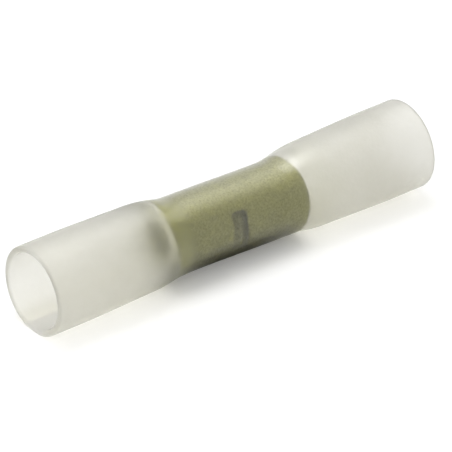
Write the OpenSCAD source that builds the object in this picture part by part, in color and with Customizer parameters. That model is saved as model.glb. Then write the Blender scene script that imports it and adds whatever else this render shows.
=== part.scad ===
// Heat-shrink butt splice connector.
// A tinned copper crimp barrel sits in the middle of a translucent sleeve. The sleeve is shrunk
// down onto the barrel and stays wide and open at both ends, where the wires go in.
// The part lies along X with its middle at the origin and rests on its two mouths. Sizes are in mm.

/* [Sleeve] */
// length of the sleeve from mouth to mouth
sleeve_length = 42; // [38:0.5:60]
// outer diameter of the two open ends
mouth_diameter = 8.4; // [8:0.1:10]
// wall thickness of the open ends
mouth_wall = 0.6; // [0.4:0.05:0.8]
// wall thickness where the sleeve is shrunk onto the barrel
neck_wall = 0.75; // [0.6:0.05:0.9]
// length of the narrow middle, measured between the feet of the shoulders
neck_length = 12.2; // [9:0.1:14]
// length of each steep shoulder
shoulder_length = 2.3; // [1.8:0.1:3.2]
// share of the rise from neck to mouth that the steep shoulder takes
shoulder_share = 0.66; // [0.5:0.02:0.8]
// length of the gentle taper from the shoulder to the straight end
taper_length = 8; // [6:0.5:9]
// radius of the hollow bend at the foot of the shoulder
foot_bend = 4; // [2:0.5:8]
// radius of the round bend at the top of the shoulder
top_bend = 11; // [6:0.5:13]
// rounding of the cut edges at the mouths
rim_round = 0.26; // [0.06:0.02:0.3]
// width of the small flat under each end, where the soft sleeve rests
rest_flat = 1.7; // [0.8:0.1:2.2]

/* [Lining] */
// distance from each end of the barrel at which the lining lets go of it
grip_setback = 0.2; // [0.1:0.05:0.6]
// length over which the lining rises from the barrel to the shoulder
lining_rise = 1.8; // [1.2:0.1:2.4]
// radius of the bend where the lining leaves the barrel
lining_bend = 2.5; // [1:0.5:4]
// gap between the lining that fills the wire stop and the stop's walls
fill_gap = 0.06; // [0.02:0.02:0.16]
// depth of the dent that the outside of the sleeve shows over the stop
dent_depth = 0.16; // [0.05:0.01:0.25]
// radius of the dent across the sleeve
dent_bend = 1.3; // [1:0.1:1.6]

/* [Barrel] */
// outer diameter of the barrel
barrel_diameter = 5.6; // [5.2:0.1:5.8]
// length of the barrel
barrel_length = 15.2; // [12:0.1:18]
// diameter of the wire bores
bore_diameter = 3.7; // [3:0.1:4]
// bevel of the outer edges at the barrel's ends
barrel_edge = 0.18; // [0.08:0.02:0.3]
// funnel at the mouth of each wire bore
bore_funnel = 0.3; // [0.1:0.05:0.45]

/* [Wire stop] */
// width of the punched stop along the barrel
stop_width = 1.6; // [1.4:0.1:2]
// length of the punched stop across the barrel
stop_length = 3.2; // [2.6:0.1:3.4]
// radius of the stop's corners, seen from outside
stop_corner = 0.35; // [0.2:0.05:0.5]
// depth of the punched stop
stop_depth = 0.8; // [0.65:0.05:0.9]
// wall left under the stop
stop_wall = 0.75; // [0.6:0.05:0.85]
// turn of the stop above the front of the barrel, in degrees
stop_turn = 2; // [-90:1:90]
// amount by which the bore is drawn in all round at the stop
land_rise = 0.22; // [0.18:0.02:0.35]
// straight length of the drawn-in land
land_length = 1.6; // [1:0.1:2]
// length of the ramp on each side of the land
land_ramp = 0.5; // [0.3:0.05:0.8]

/* [Hidden] */
$fn = 96;
half_length = sleeve_length / 2;
mouth_r = mouth_diameter / 2;
mouth_bore_r = mouth_r - mouth_wall;
rest_level = sqrt(mouth_r * mouth_r - rest_flat * rest_flat / 4);
// the two rounded edges of a rim leave a little of the flat cut face between them
rim_limit = 0.45;
rim_r = min(rim_round, rim_limit * mouth_wall);
barrel_r = barrel_diameter / 2;
barrel_half = barrel_length / 2;
bore_r = bore_diameter / 2;
land_r = bore_r - land_rise;
land_half = land_length / 2;
neck_r = barrel_r + neck_wall;
neck_half = neck_length / 2;
shoulder_end = neck_half + shoulder_length;
taper_end = shoulder_end + taper_length;
grip_half = barrel_half - grip_setback;
lining_end = grip_half + lining_rise;
overshoot = 1;
sliver_tip = 0.2;
// radius of the large bend that runs the gentle taper into the straight end
end_bend = 60;
stop_floor = barrel_r - stop_depth;
stop_run = stop_length - stop_width;
// round-nosed bump that the punch pushes up inside the bore
bump_r = stop_width / 2 + stop_wall;
bump_axis = stop_floor - stop_wall + bump_r;
dent_axis = neck_r - dent_depth + dent_bend;

// sliver between the corner p of two straight runs and the arc of radius r that joins them;
// a1 is the direction of the run into the corner and a2 that of the run out of it, and the
// sliver's tip reaches past the corner so that it crosses both runs cleanly
module corner_sliver(p, a1, a2, r) {
    reach = r * tan(abs(a2 - a1) / 2);
    start = p - reach * [cos(a1), sin(a1)];
    stop = p + reach * [cos(a2), sin(a2)];
    centre = start + sign(a2 - a1) * r * [-sin(a1), cos(a1)];
    tip = p + sliver_tip * (p - centre) / norm(p - centre);
    difference() {
        polygon([start, tip, stop]);
        translate(centre)
            circle(r = r);
    }
}

// area between the axis and a shrunk outline: narrow neck up to half, steep shoulder up to rise_end,
// gentle taper, and a straight end up to reach; foot is the radius at the foot of the shoulder
module shrunk_outline(neck, mouth, half, rise_end, foot, reach) {
    shoulder = neck + shoulder_share * (mouth - neck);
    rise = atan2(rise_end - half, shoulder - neck);
    drift = atan2(taper_end - rise_end, mouth - shoulder);
    difference() {
        union() {
            polygon([
                [0, -reach],
                [mouth, -reach],
                [mouth, -taper_end],
                [shoulder, -rise_end],
                [neck, -half],
                [neck, half],
                [shoulder, rise_end],
                [mouth, taper_end],
                [mouth, reach],
                [0, reach]
            ]);
            for (end = [0, 1])
                mirror([0, end])
                    corner_sliver([neck, half], 90, rise, foot);
        }
        for (end = [0, 1])
            mirror([0, end]) {
                corner_sliver([shoulder, rise_end], rise, drift, top_bend);
                corner_sliver([mouth, taper_end], drift, 90, end_bend);
            }
    }
}

// cut through one side of the sleeve's wall, with the rounded rims of the mouths
module sleeve_section() {
    difference() {
        shrunk_outline(neck_r, mouth_r, neck_half, shoulder_end, foot_bend, half_length);
        shrunk_outline(barrel_r, mouth_bore_r, grip_half, lining_end, lining_bend, half_length + overshoot);
        for (end = [0, 1])
            mirror([0, end]) {
                corner_sliver([mouth_r, half_length], 90, 180, rim_r);
                corner_sliver([mouth_bore_r, half_length], 90, 0, rim_r);
            }
    }
}

// cut through one side of the barrel's wall, with the drawn-in land at half length
module barrel_section() {
    polygon([
        [barrel_r, -barrel_half + barrel_edge],
        [barrel_r, barrel_half - barrel_edge],
        [barrel_r - barrel_edge, barrel_half],
        [bore_r + bore_funnel, barrel_half],
        [bore_r, barrel_half - bore_funnel],
        [bore_r, land_half + land_ramp],
        [land_r, land_half],
        [land_r, -land_half],
        [bore_r, -land_half - land_ramp],
        [bore_r, -barrel_half + bore_funnel],
        [bore_r + bore_funnel, -barrel_half],
        [barrel_r - barrel_edge, -barrel_half]
    ]);
}

// block of the stop's rounded rectangular outline, made smaller all round by gap, which stands
// on the stop's floor, or gap above it, and reaches out of the barrel
module stop_block(gap) {
    half_width = stop_width / 2 - gap;
    half_run = stop_length / 2 - gap;
    rotate([90 - stop_turn, 0, 0])
        translate([0, 0, stop_floor + gap])
            linear_extrude(height = stop_depth + neck_wall)
                difference() {
                    square([2 * half_width, 2 * half_run], center = true);
                    for (side = [0, 1], end = [0, 1])
                        mirror([side, 0])
                            mirror([0, end])
                                corner_sliver([half_width, half_run], 90, 180, stop_corner - gap);
                }
}

// round-nosed bar of radius r that lies across the part at the stop, with its axis at the
// distance away from the part's axis
module stop_bar(r, away) {
    rotate([-stop_turn, 0, 0])
        translate([0, -away, 0])
            rotate_extrude()
                intersection() {
                    union() {
                        square([2 * r, stop_run], center = true);
                        for (end = [-1, 1])
                            translate([0, end * stop_run / 2])
                                circle(r = r);
                    }
                    translate([0, -stop_run / 2 - r])
                        square([2 * r, stop_run + 2 * r]);
                }
}

// solid cylinder along the part's axis
module core(r, length) {
    rotate([0, 90, 0])
        cylinder(r = r, h = length, center = true);
}

module heat_shrink_sleeve() {
    color([0.86, 0.86, 0.80])
        difference() {
            union() {
                rotate([0, 90, 0])
                    rotate_extrude()
                        sleeve_section();
                intersection() {
                    stop_block(fill_gap);
                    core((neck_r + barrel_r) / 2, neck_length);
                }
            }
            stop_bar(dent_bend, dent_axis);
            translate([-sleeve_length, -mouth_r, -rest_level - mouth_r])
                cube([2 * sleeve_length, mouth_diameter, mouth_r]);
        }
}

module crimp_barrel() {
    color([0.66, 0.65, 0.58])
        difference() {
            union() {
                rotate([0, 90, 0])
                    rotate_extrude()
                        barrel_section();
                intersection() {
                    stop_bar(bump_r, bump_axis);
                    core((barrel_r + bore_r) / 2, barrel_length);
                }
            }
            stop_block(0);
        }
}

heat_shrink_sleeve();
crimp_barrel();
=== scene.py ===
import math

import bmesh
import bpy
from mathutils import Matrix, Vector


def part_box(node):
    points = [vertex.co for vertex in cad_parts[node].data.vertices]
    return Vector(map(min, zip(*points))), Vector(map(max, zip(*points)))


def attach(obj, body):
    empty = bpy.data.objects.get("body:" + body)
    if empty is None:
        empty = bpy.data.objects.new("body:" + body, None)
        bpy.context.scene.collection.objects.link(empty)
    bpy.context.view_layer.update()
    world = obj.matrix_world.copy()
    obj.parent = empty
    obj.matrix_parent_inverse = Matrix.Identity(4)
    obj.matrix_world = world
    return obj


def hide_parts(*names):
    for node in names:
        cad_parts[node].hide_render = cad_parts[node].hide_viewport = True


# Heat-shrink butt splice connector: a milky translucent sleeve shrunk onto a tinned crimp barrel.
# The part lies along X on a white table. Lengths are written in millimetres and are turned into
# metres where a mesh, a lamp or the camera is made.

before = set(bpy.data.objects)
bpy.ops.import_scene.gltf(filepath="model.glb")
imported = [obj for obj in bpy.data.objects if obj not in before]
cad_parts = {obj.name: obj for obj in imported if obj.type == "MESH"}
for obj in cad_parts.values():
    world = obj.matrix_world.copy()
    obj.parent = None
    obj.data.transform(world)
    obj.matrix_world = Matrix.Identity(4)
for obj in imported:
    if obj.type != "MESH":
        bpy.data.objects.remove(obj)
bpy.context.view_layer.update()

MM = 0.001

# Sizes read from the frame
sleeve_low, sleeve_high = [Vector(corner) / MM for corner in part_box("heat_shrink_sleeve")]
barrel_high = Vector(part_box("crimp_barrel")[1]) / MM
mouth_x = sleeve_high.x
mouth_r = sleeve_high.y
table_z = sleeve_low.z
barrel_end_x = barrel_high.x
barrel_r = barrel_high.y

# Sleeve
mouth_wall = 0.6
neck_wall = 0.75
neck_end_x = 6.175
shoulder_end_x = 8.45
taper_end_x = 16.4
shoulder_share = 0.66
foot_reach = 1.1
grip_reach = 0.35
top_reach = 0.85
taper_reach = 0.9
rim_reach = 0.26
# The lining grips the barrel nearly to its ends, further than the outside stays narrow
grip_back = 0.2
lining_rise = 1.8
# The lining clings to the barrel, so the sleeve's inner face sinks a hair into the metal
cling = 0.012

# The feet of the shoulders lie a little right of the middle
foot_shift = 0.075

# Barrel
bore_r = 1.85
land_r = 1.63
land_half = 0.8
ramp_end_x = 1.3
edge_bevel = 0.18
bore_funnel = 0.3
lip_round = 0.05
# Painted light: the bore is painted lighter deeper in, where less light reaches, starting from the
# outside's colour just inside its mouths
painted_light_at_mouth = 0.0
painted_light_reach = 1.2

# Wire stop: a rounded rectangle punched into the barrel's front, a little left of the middle
stop_shift = -0.25
stop_turn = math.radians(2)
stop_width = 1.6
stop_length = 3.2
stop_corner = 0.35
stop_depth = 0.8
stop_wall_run = 0.16
# Painted shade: the stop's floor is painted darker, and so are the creases at its rim and at the foot
# of its wall
stop_floor_painted_shade = 0.5
crease_run = 0.08
# Inside the bore the punch pushes up a round-nosed bump
bump_r = 1.55
bump_axis = 2.8
bump_half = 0.8
# The lining fills the recess, and the sleeve's outside shows a soft dent over it
dent_depth = 0.1
dent_run = 0.6
refine_margin = 0.5
refine_cuts = 3

# The hand-shrunk sleeve isn't quite straight: its two ends lean, and the neck lies a little low
end_lean = 0.0145
end_step = 0.205
step_half = 7.0
neck_sag = 0.13
sag_start = 5.5
sag_end = 7.5
lean_level = -0.03

# Mesh fineness
turn_steps = 160
bend_steps = 6
cell = 0.18
weld_reach = 0.0001
sharp_edge = math.radians(35)

# Looks of the sleeve: its tints, each seen through up to four faces
neck_tint = (0.96, 0.95, 0.83)
# Painted shade: the neck's tint underneath
neck_painted_shade_tint = (0.40, 0.39, 0.28)
shoulder_tint = (0.825, 0.822, 0.765)
# Painted light: the clearer tint underneath the left shoulder
left_shoulder_painted_light_tint = (0.97, 0.965, 0.90)
left_end_tint = (0.897, 0.892, 0.857)
# Painted shade: the right end's tint, darker than the left end's
right_end_painted_shade_tint = (0.821, 0.815, 0.774)
haze_dark = (0.96, 0.96, 0.95)
grain_dark = (0.50, 0.50, 0.48)
white = (1.0, 1.0, 1.0)
# The tints change along X, a little right of the middle, and by height
tint_shift = 0.5
foot_band = (5.0, 7.3)
shoulder_band = (7.5, 12.0)
neck_band = (5.2, 7.3)
under_band = (-0.6, -2.6)
left_shoulder_band = (-7.0, -8.0)
right_end_band = (10.0, 18.0)
# Its surface is smoother and glossier on the neck than at the ends
satin_shift = 0.3
satin_band = (6.8, 11.5)
neck_roughness = 0.285
end_roughness = 0.50
gloss_band = (6.8, 8.0)
gloss_height = (0.0, 2.6)
low_gloss = 0.25
least_gloss = 0.4
# Sizes of its haze and grain, and the depth of its bumps
haze_size = 1.1
grain_size = 0.2
gloss_size = 0.16
ripple_size = 0.3
ripple_depth = 0.006
# What the sleeve does to light that passes through it
shoulder_shade = (0.82, 0.815, 0.80)
end_shade = (0.72, 0.715, 0.70)
depth_tint = (0.80, 0.79, 0.70)
depth_density = 0.17

# Looks of the barrel
plating_dark = (0.275, 0.27, 0.09)
plating_light = (0.455, 0.45, 0.15)
# Painted light: the lighter metal deep in the bore
bore_painted_light_metal = (0.93, 0.92, 0.62)
cut_metal = (0.84, 0.83, 0.69)
# Painted shade: the darker metal in the stop's recess and creases
painted_shade_metal = (0.125, 0.122, 0.045)
cut_metallic = 0.5
plating_size = 0.22
plating_depth = 0.012
dark_roughness = 0.60
light_roughness = 0.52

# Looks of the table
table_half = 400
table_white = (0.93, 0.93, 0.93)
# Painted shade: the table under the neck, as the part sees it
table_painted_shade = (0.2, 0.2, 0.2)
shaded_x = (1.5, 6.5)
shaded_y = (3.0, 6.0)
table_lift = 0.10


def smooth_step(low, high, value):
    share = min(max((value - low) / (high - low), 0.0), 1.0)
    return share * share * (3 - 2 * share)


def stop_axes():
    """Directions across the part at the stop: along the recess, and outwards through it."""
    outward = Vector((0, -math.cos(stop_turn), math.sin(stop_turn)))
    return Vector((1, 0, 0)).cross(outward), outward


def stop_distance(along, across):
    """Distance from the rounded outline of the stop, negative inside it."""
    past_x = abs(along - stop_shift) - stop_width / 2 + stop_corner
    past_y = abs(across) - stop_length / 2 + stop_corner
    outside = math.hypot(max(past_x, 0.0), max(past_y, 0.0))
    return outside + min(max(past_x, past_y), 0.0) - stop_corner


def refine_at_stop(bm, radii):
    """Cuts the faces round the stop finer on the given radii, and lays the new points on the round."""
    across_dir, outward = stop_axes()

    def near_stop(place):
        on_wall = min(abs(math.hypot(place.y, place.z) - r) for r in radii) < cell / 2
        reach = stop_distance(place.x, place.dot(across_dir))
        return on_wall and place.dot(outward) > 0 and reach < refine_margin

    faces = [f for f in bm.faces if all(near_stop(v.co / MM) for v in f.verts)]
    edges = {edge for face in faces for edge in face.edges}
    bmesh.ops.subdivide_edges(bm, edges=list(edges), cuts=refine_cuts, use_grid_fill=True)
    for vert in bm.verts:
        place = vert.co / MM
        if not near_stop(place):
            continue
        radius = math.hypot(place.y, place.z)
        wanted = min(radii, key=lambda r: abs(r - radius))
        vert.co.y *= wanted / radius
        vert.co.z *= wanted / radius


def press_stop(bm, wall_radius, floor, run):
    """Presses the stop's outline into the wall at a radius, down to a flat floor or by a drop."""
    across_dir, outward = stop_axes()
    for vert in bm.verts:
        place = vert.co / MM
        height = place.dot(outward)
        if height <= 0 or abs(math.hypot(place.y, place.z) - wall_radius) > cell / 2:
            continue
        reach = stop_distance(place.x, place.dot(across_dir))
        share = 1 - smooth_step(-run, 0.0, reach)
        vert.co += outward * share * (floor(height) - height) * MM


def mark_cut_ends_and_painted_shading(bm):
    """Marks the painted light deep in the bore, the matte cut ends, and the painted shade in the stop,
    its creases most.
    """
    across_dir, outward = stop_axes()
    bore_painted_light = bm.verts.layers.float.new("bore_painted_light")
    cut_end = bm.verts.layers.float.new("cut_end")
    for vert in bm.verts:
        place = vert.co / MM
        radius = math.hypot(place.y, place.z)
        # Painted light in the bore, lighter with depth from its mouths
        if radius < bore_r + bore_funnel - lip_round:
            depth = barrel_end_x - abs(place.x)
            vert[bore_painted_light] = painted_light_at_mouth + (1 - painted_light_at_mouth) * smooth_step(0.0, painted_light_reach, depth)
        elif radius < barrel_r - edge_bevel / 2:
            vert[cut_end] = 1.0
    # Painted shade in the stop: its floor darker, its creases darkest
    layer = bm.verts.layers.float.new("stop_painted_shade")
    for vert in bm.verts:
        place = vert.co / MM
        if place.dot(outward) <= 0 or math.hypot(place.y, place.z) < barrel_r - cell:
            continue
        reach = stop_distance(place.x, place.dot(across_dir))
        floor = 1 - smooth_step(-stop_wall_run, -stop_wall_run / 2, reach)
        foot = 1 - smooth_step(0.0, crease_run, abs(reach + stop_wall_run))
        lip = 1 - smooth_step(0.0, crease_run, abs(reach))
        vert[layer] = max(stop_floor_painted_shade * floor, foot, lip)


def raise_bump(bm):
    """Pushes the wall of the bore up over the round-nosed bump under the stop."""
    across_dir, outward = stop_axes()
    for vert in bm.verts:
        place = vert.co / MM
        height = place.dot(outward)
        if height <= 0 or math.hypot(place.y, place.z) > (barrel_r + bore_r) / 2:
            continue
        past_end = max(abs(place.dot(across_dir)) - bump_half, 0.0)
        room = bump_r ** 2 - (place.x - stop_shift) ** 2 - past_end ** 2
        if room > 0:
            vert.co += outward * min(bump_axis - math.sqrt(room) - height, 0.0) * MM


def lean(bm):
    """Moves a straight mesh onto the sleeve's slightly crooked run."""
    for vert in bm.verts:
        x = vert.co.x / MM
        step = 2 * smooth_step(-step_half, step_half, x) - 1
        sag = 1 - smooth_step(sag_start, sag_end, abs(x))
        vert.co.z += (lean_level + end_lean * x - end_step * step - neck_sag * sag) * MM


def spun_section(corners, reaches):
    """A closed section of (x, r) corners, its corners rounded, spun once round the X axis."""
    bm = bmesh.new()
    ring = [bm.verts.new((x * MM, 0, r * MM)) for x, r in corners]
    for here, after in zip(ring, ring[1:] + ring[:1]):
        bm.edges.new((here, after))
    for reach in sorted(set(reaches)):
        bends = [v for v, own in zip(ring, reaches) if own == reach]
        bmesh.ops.bevel(bm, geom=bends, offset=reach * MM, offset_type="OFFSET", affect="VERTICES",
                        segments=bend_steps, profile=0.5, material=-1)
    for edge in list(bm.edges):
        cuts = int(edge.calc_length() / (cell * MM))
        if cuts:
            bmesh.ops.subdivide_edges(bm, edges=[edge], cuts=cuts)
    bmesh.ops.spin(bm, geom=bm.verts[:] + bm.edges[:], cent=(0, 0, 0), axis=(1, 0, 0), angle=math.tau,
                   steps=turn_steps, use_merge=True)
    bmesh.ops.remove_doubles(bm, verts=bm.verts, dist=weld_reach * MM)
    bmesh.ops.recalc_face_normals(bm, faces=bm.faces)
    return bm


def both_sides(right, left):
    """A whole section from the corners of its two halves, each counted outwards from the middle."""
    return right + [(-x, r) for x, r in reversed(left)]


def sleeve_mesh():
    neck_r = barrel_r + neck_wall
    lining_r = barrel_r - cling
    bore = mouth_r - mouth_wall
    shoulder_r = neck_r + shoulder_share * (mouth_r - neck_r)
    shoulder_bore = lining_r + shoulder_share * (bore - lining_r)

    def half_section(side):
        foot_x = neck_end_x + side * foot_shift
        top_x = shoulder_end_x + side * foot_shift
        grip_x = barrel_end_x - grip_back
        outside = [(foot_x, neck_r), (top_x, shoulder_r), (taper_end_x, mouth_r), (mouth_x, mouth_r)]
        rise_x = grip_x + lining_rise
        inside = [(mouth_x, bore), (taper_end_x, bore), (rise_x, shoulder_bore), (grip_x, lining_r)]
        return outside + inside

    half_reaches = [
        foot_reach, top_reach, taper_reach, rim_reach,
        rim_reach, taper_reach, top_reach, grip_reach,
    ]
    corners = both_sides(half_section(1), half_section(-1))
    bm = spun_section(corners, half_reaches + half_reaches[::-1])
    refine_at_stop(bm, [neck_r, lining_r])
    press_stop(bm, neck_r, lambda height: height - dent_depth, dent_run)
    press_stop(bm, lining_r, lambda height: min(height, barrel_r - stop_depth) - cling, stop_wall_run)
    lean(bm)
    for vert in bm.verts:
        vert.co.z = max(vert.co.z, table_z * MM)
    return bm


def barrel_mesh():
    half = [
        (land_half, land_r), (ramp_end_x, bore_r), (barrel_end_x - bore_funnel, bore_r),
        (barrel_end_x, bore_r + bore_funnel), (barrel_end_x, barrel_r - edge_bevel),
        (barrel_end_x - edge_bevel, barrel_r),
    ]
    corners = both_sides(half, half)
    bm = spun_section(corners, [lip_round] * len(corners))
    refine_at_stop(bm, [barrel_r])
    mark_cut_ends_and_painted_shading(bm)
    raise_bump(bm)
    press_stop(bm, barrel_r, lambda height: min(height, barrel_r - stop_depth), stop_wall_run)
    lean(bm)
    return bm


def piece_from(bm, name, material, sharp_angle=None):
    mesh = bpy.data.meshes.new(name)
    bm.to_mesh(mesh)
    bm.free()
    mesh.shade_smooth()
    if sharp_angle is not None:
        mesh.set_sharp_from_angle(angle=sharp_angle)
    mesh.materials.append(material)
    piece = bpy.data.objects.new(name, mesh)
    bpy.context.scene.collection.objects.link(piece)
    return piece


def speckle_group():
    """Fine random speckle on a piece's own coordinates, between 0 and 1."""
    group = bpy.data.node_groups.new("fine_speckle", "ShaderNodeTree")
    group.interface.new_socket("Vector", in_out="INPUT", socket_type="NodeSocketVector")
    group.interface.new_socket("Grain Size", in_out="INPUT", socket_type="NodeSocketFloat")
    group.interface.new_socket("Mask", in_out="OUTPUT", socket_type="NodeSocketFloat")
    nodes, links = group.nodes, group.links
    inward = nodes.new("NodeGroupInput")
    outward = nodes.new("NodeGroupOutput")
    spread = nodes.new("ShaderNodeVectorMath")
    spread.operation = "DIVIDE"
    noise = nodes.new("ShaderNodeTexNoise")
    noise.inputs["Scale"].default_value = 1.0
    noise.inputs["Detail"].default_value = 3.0
    noise.inputs["Roughness"].default_value = 0.6
    stretch = nodes.new("ShaderNodeMapRange")
    stretch.inputs["From Min"].default_value = 0.3
    stretch.inputs["From Max"].default_value = 0.7
    links.new(inward.outputs["Vector"], spread.inputs[0])
    links.new(inward.outputs["Grain Size"], spread.inputs[1])
    links.new(spread.outputs["Vector"], noise.inputs["Vector"])
    links.new(noise.outputs["Fac"], stretch.inputs["Value"])
    links.new(stretch.outputs["Result"], outward.inputs["Mask"])
    return group


fine_speckle = speckle_group()


def smooth_ramp(tree, value, low, high, first, last):
    """Runs smoothly from the first number to the last while a value runs from low to high."""
    node = tree.nodes.new("ShaderNodeMapRange")
    node.interpolation_type = "SMOOTHSTEP"
    for name, number in (("From Min", low), ("From Max", high), ("To Min", first), ("To Max", last)):
        node.inputs[name].default_value = number
    tree.links.new(value, node.inputs["Value"])
    return node.outputs["Result"]


class Finish:
    """A material's node tree, with the few kinds of node that the finishes here need."""

    def __init__(self, name):
        self.material = bpy.data.materials.new(name)
        self.material.use_nodes = True
        self.nodes = self.material.node_tree.nodes
        self.links = self.material.node_tree.links
        self.shader = self.nodes["Principled BSDF"]
        self.out = self.nodes["Material Output"]
        self.place = self.nodes.new("ShaderNodeTexCoord").outputs["Object"]

    def speckle(self, size):
        node = self.nodes.new("ShaderNodeGroup")
        node.node_tree = fine_speckle
        node.inputs["Grain Size"].default_value = size * MM
        self.links.new(self.place, node.inputs["Vector"])
        return node.outputs["Mask"]

    def ramp(self, value, first, last):
        """Ramp over a value between 0 and 1."""
        return smooth_ramp(self.material.node_tree, value, 0.0, 1.0, first, last)

    def along(self, length, band, first=0.0, last=1.0):
        """Ramp over a length, across a band in millimetres."""
        low, high = band
        return smooth_ramp(self.material.node_tree, length, low * MM, high * MM, first, last)

    def math(self, operation, first, second=None):
        node = self.nodes.new("ShaderNodeMath")
        node.operation = operation
        for socket, value in zip(node.inputs, (first, second)):
            if isinstance(value, (int, float)):
                socket.default_value = value
            elif value is not None:
                self.links.new(value, socket)
        return node.outputs["Value"]

    def product(self, first, second):
        return self.math("MULTIPLY", first, second)

    def mix(self, share, first, last):
        node = self.nodes.new("ShaderNodeMix")
        node.data_type = "RGBA"
        self.links.new(share, node.inputs["Factor"])
        for socket, colour in ((node.inputs[6], first), (node.inputs[7], last)):
            if isinstance(colour, tuple):
                socket.default_value = (*colour, 1)
            else:
                self.links.new(colour, socket)
        return node.outputs[2]

    def times(self, first, second):
        node = self.nodes.new("ShaderNodeMix")
        node.data_type = "RGBA"
        node.blend_type = "MULTIPLY"
        node.inputs["Factor"].default_value = 1.0
        self.links.new(first, node.inputs[6])
        self.links.new(second, node.inputs[7])
        return node.outputs[2]

    def bump(self, height, depth):
        node = self.nodes.new("ShaderNodeBump")
        node.inputs["Distance"].default_value = depth * MM
        self.links.new(height, node.inputs["Height"])
        self.feed(node.outputs["Normal"], "Normal")

    def set(self, **values):
        for name, value in values.items():
            self.shader.inputs[name.replace("_", " ")].default_value = value

    def feed(self, value, name):
        self.links.new(value, self.shader.inputs[name])

    def coordinate(self, axis):
        split = self.nodes.new("ShaderNodeSeparateXYZ")
        self.links.new(self.place, split.inputs[0])
        return split.outputs[axis]

    def mark(self, name):
        """Value that the mesh itself holds under a name."""
        node = self.nodes.new("ShaderNodeAttribute")
        node.attribute_name = name
        return node.outputs["Fac"]


def sleeve_material():
    finish = Finish("milky_polyolefin")
    finish.set(IOR=1.49, Transmission_Weight=0.955, Specular_IOR_Level=0.25)
    finish.set(Coat_Roughness=0.38, Coat_IOR=1.65)
    place_x = finish.coordinate("X")
    height = finish.coordinate("Z")
    from_middle = finish.math("ABSOLUTE", place_x)
    from_tints = finish.math("ABSOLUTE", finish.math("SUBTRACT", place_x, tint_shift * MM))
    past_foot = finish.along(from_tints, foot_band)
    past_shoulder = finish.along(from_tints, shoulder_band)
    underside = finish.along(height, under_band)
    tint = finish.mix(past_foot, neck_tint, shoulder_tint)
    # Painted shade: the neck's tint is darker underneath
    on_neck = finish.along(from_middle, neck_band, 1.0, 0.0)
    tint = finish.mix(finish.product(underside, on_neck), tint, neck_painted_shade_tint)
    # Painted light: underneath, the left shoulder has a clearer tint than the rest, so that it shows
    # lighter
    left_shoulder = finish.along(place_x, left_shoulder_band)
    tint = finish.mix(finish.product(underside, left_shoulder), tint, left_shoulder_painted_light_tint)
    # Painted shade: the right end is tinted darker than the left end
    right_end = finish.along(place_x, right_end_band)
    end_tint = finish.mix(right_end, left_end_tint, right_end_painted_shade_tint)
    tint = finish.mix(past_shoulder, tint, end_tint)
    haze = finish.mix(finish.speckle(haze_size), haze_dark, white)
    grain_share = finish.math("MAXIMUM", finish.speckle(grain_size), past_foot)
    grain = finish.mix(grain_share, grain_dark, white)
    finish.feed(finish.times(finish.times(tint, haze), grain), "Base Color")
    past_barrel = finish.math("ABSOLUTE", finish.math("ADD", place_x, satin_shift * MM))
    finish.feed(finish.along(past_barrel, satin_band, neck_roughness, end_roughness), "Roughness")
    finish.bump(finish.speckle(ripple_size), ripple_depth)
    # Stretched tight over the barrel, the neck has a fine-grained gloss, most on its upper side
    tight = finish.along(from_middle, gloss_band, 1.0, 0.0)
    upper = finish.along(height, gloss_height, low_gloss, 1.0)
    gloss_grain = finish.ramp(finish.speckle(gloss_size), least_gloss, 1.0)
    finish.feed(finish.product(finish.product(tight, upper), gloss_grain), "Coat Weight")
    # Lamp light passes through the sleeve, most where the shoulders gather it, so that its ends
    # cast a pale shadow
    clear = finish.nodes.new("ShaderNodeBsdfTransparent")
    finish.links.new(finish.mix(past_shoulder, shoulder_shade, end_shade), clear.inputs["Color"])
    rays = finish.nodes.new("ShaderNodeLightPath")
    shade = finish.nodes.new("ShaderNodeMixShader")
    finish.links.new(rays.outputs["Is Shadow Ray"], shade.inputs["Fac"])
    finish.links.new(finish.shader.outputs["BSDF"], shade.inputs[1])
    finish.links.new(clear.outputs["BSDF"], shade.inputs[2])
    finish.links.new(shade.outputs["Shader"], finish.out.inputs["Surface"])
    # The plastic yellows a little with depth, most where the wall is seen edge on
    body = finish.nodes.new("ShaderNodeVolumeAbsorption")
    body.inputs["Color"].default_value = (*depth_tint, 1)
    body.inputs["Density"].default_value = depth_density / MM
    finish.links.new(body.outputs["Volume"], finish.out.inputs["Volume"])
    return finish.material


def barrel_material():
    finish = Finish("dull_tin_plating")
    grain = finish.speckle(plating_size)
    metal = finish.mix(grain, plating_dark, plating_light)
    # Painted light deep in the bore
    metal = finish.mix(finish.mark("bore_painted_light"), metal, bore_painted_light_metal)
    cut_end = finish.mark("cut_end")
    metal = finish.mix(cut_end, metal, cut_metal)
    # Painted shade in the stop's recess and creases
    metal = finish.mix(finish.mark("stop_painted_shade"), metal, painted_shade_metal)
    finish.feed(metal, "Base Color")
    finish.feed(finish.ramp(cut_end, 1.0, cut_metallic), "Metallic")
    finish.feed(finish.ramp(grain, dark_roughness, light_roughness), "Roughness")
    finish.bump(grain, plating_depth)
    return finish.material


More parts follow.
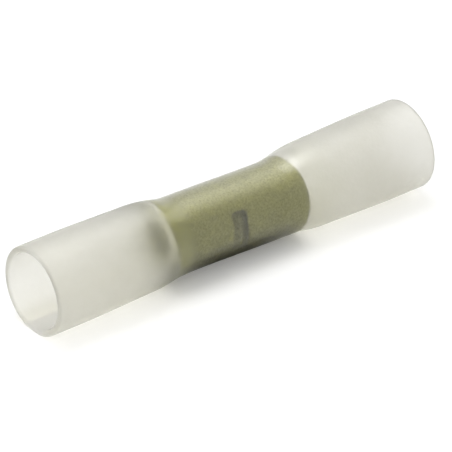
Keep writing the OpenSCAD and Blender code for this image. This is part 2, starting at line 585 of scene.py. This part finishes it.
def table_material():
    finish = Finish("white_table")
    finish.set(Roughness=0.9, Specular_IOR_Level=0.0, Emission_Color=(1, 1, 1, 1))
    rays = finish.nodes.new("ShaderNodeLightPath")
    # Painted shade: under the neck the table is dark to every ray but the camera's, so it throws
    # little light back at the neck
    near_x = finish.along(finish.math("ABSOLUTE", finish.coordinate("X")), shaded_x, 1.0, 0.0)
    near_y = finish.along(finish.math("ABSOLUTE", finish.coordinate("Y")), shaded_y, 1.0, 0.0)
    unseen = finish.math("SUBTRACT", 1.0, rays.outputs["Is Camera Ray"])
    under_neck = finish.product(finish.product(near_x, near_y), unseen)
    finish.feed(finish.mix(under_neck, table_white, table_painted_shade), "Base Color")
    # Elsewhere its shadows are a little lifted, seen directly, through the sleeve or in the metal
    seen = finish.math("MAXIMUM", rays.outputs["Is Camera Ray"], rays.outputs["Is Glossy Ray"])
    seen = finish.math("MAXIMUM", seen, rays.outputs["Is Transmission Ray"])
    lift = finish.product(finish.math("SUBTRACT", 1.0, under_neck), table_lift)
    finish.feed(finish.product(seen, lift), "Emission Strength")
    return finish.material


sleeve = piece_from(sleeve_mesh(), "heat_shrink_sleeve_skin", sleeve_material())
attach(sleeve, "root")
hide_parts("heat_shrink_sleeve")

barrel = piece_from(barrel_mesh(), "crimp_barrel_tube", barrel_material(), sharp_edge)
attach(barrel, "root")
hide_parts("crimp_barrel")

# Table
table_bm = bmesh.new()
bmesh.ops.create_grid(table_bm, x_segments=1, y_segments=1, size=table_half * MM)
bmesh.ops.translate(table_bm, verts=table_bm.verts, vec=(0, 0, table_z * MM))
table = piece_from(table_bm, "table", table_material())

# Camera, at the photograph's viewing angle
view_turn = math.radians(37.50)
view_drop = math.radians(31.05)
view_distance = 534.87
view_aim = Vector((-0.09, -0.53, -0.79))
focal_pixels = 6003.0
image_pixels = 452
sensor_width = 36
camera_data = bpy.data.cameras.new("camera")
camera_data.sensor_width = sensor_width
camera_data.lens = focal_pixels / image_pixels * sensor_width
camera = bpy.data.objects.new("camera", camera_data)
bpy.context.scene.collection.objects.link(camera)
gaze = Vector((
    math.sin(view_turn) * math.cos(view_drop),
    math.cos(view_turn) * math.cos(view_drop),
    -math.sin(view_drop),
))
camera.location = (view_aim - gaze * view_distance) * MM
camera.rotation_euler = gaze.to_track_quat("-Z", "Y").to_euler()
bpy.context.scene.camera = camera

# World: a white studio, lighter in front of the part than above it, with a light on the left and
# a lit backdrop behind. Each level comes in over a band of the way that a ray looks.
front_level = 0.9
back_level = 0.2
side_level = 0.7
backdrop_level = 1.0
room_band = (-0.6, 0.6)
side_band = (-0.4, -0.8)
backdrop_band = (0.7, 0.95)
backdrop_height = (0.5, 0.85)
world = bpy.data.worlds.new("studio")
world.use_nodes = True
bpy.context.scene.world = world
sky = world.node_tree.nodes
sky_links = world.node_tree.links


def sky_ramp(value, band, first, last):
    return smooth_ramp(world.node_tree, value, *band, first, last)


def sky_math(operation, first, second):
    node = sky.new("ShaderNodeMath")
    node.operation = operation
    sky_links.new(first, node.inputs[0])
    sky_links.new(second, node.inputs[1])
    return node.outputs["Value"]


sky_way = sky.new("ShaderNodeTexCoord").outputs["Generated"]
sky_dot = sky.new("ShaderNodeVectorMath")
sky_dot.operation = "DOT_PRODUCT"
sky_dot.inputs[1].default_value = (math.sin(view_turn), math.cos(view_turn), 0)
sky_links.new(sky_way, sky_dot.inputs[0])
sky_back = sky_dot.outputs["Value"]
sky_split = sky.new("ShaderNodeSeparateXYZ")
sky_links.new(sky_way, sky_split.inputs[0])
room = sky_ramp(sky_back, room_band, front_level, back_level)
backdrop = sky_ramp(sky_back, backdrop_band, 0.0, backdrop_level)
low_sky = sky_ramp(sky_split.outputs["Z"], backdrop_height, 1.0, 0.0)
backdrop = sky_math("MULTIPLY", backdrop, low_sky)
side = sky_ramp(sky_split.outputs["X"], side_band, 0.0, side_level)
brightness = sky_math("ADD", sky_math("ADD", room, side), backdrop)
sky_links.new(brightness, sky["Background"].inputs["Strength"])
sky["Background"].inputs["Color"].default_value = (1, 1, 1, 1)

# A square softbox stands high above the part, a little behind it. A long lamp, high behind the part
# on the right, shows only as sheen on shiny surfaces.
top_place = Vector((50, 133, 534))
top_side = 300
top_watts = 1.4
right_place = Vector((313, 220, 480))
right_width = 300
right_length = 800
right_watts = 1.5


def add_softbox(name, place, width, length, watts, sheen_only=False):
    """Lamp at a place, facing the part; a sheen lamp shows on shiny surfaces alone."""
    data = bpy.data.lights.new(name, "AREA")
    data.shape = "RECTANGLE"
    data.size = width * MM
    data.size_y = length * MM
    data.energy = watts
    lamp = bpy.data.objects.new(name, data)
    bpy.context.scene.collection.objects.link(lamp)
    lamp.location = place * MM
    lamp.rotation_euler = (-place).to_track_quat("-Z", "X").to_euler()
    lamp.visible_diffuse = not sheen_only
    lamp.visible_transmission = not sheen_only


add_softbox("top_softbox", top_place, top_side, top_side, top_watts)
add_softbox("right_softbox", right_place, right_width, right_length, right_watts, sheen_only=True)

bpy.context.scene.view_settings.view_transform = "Standard"
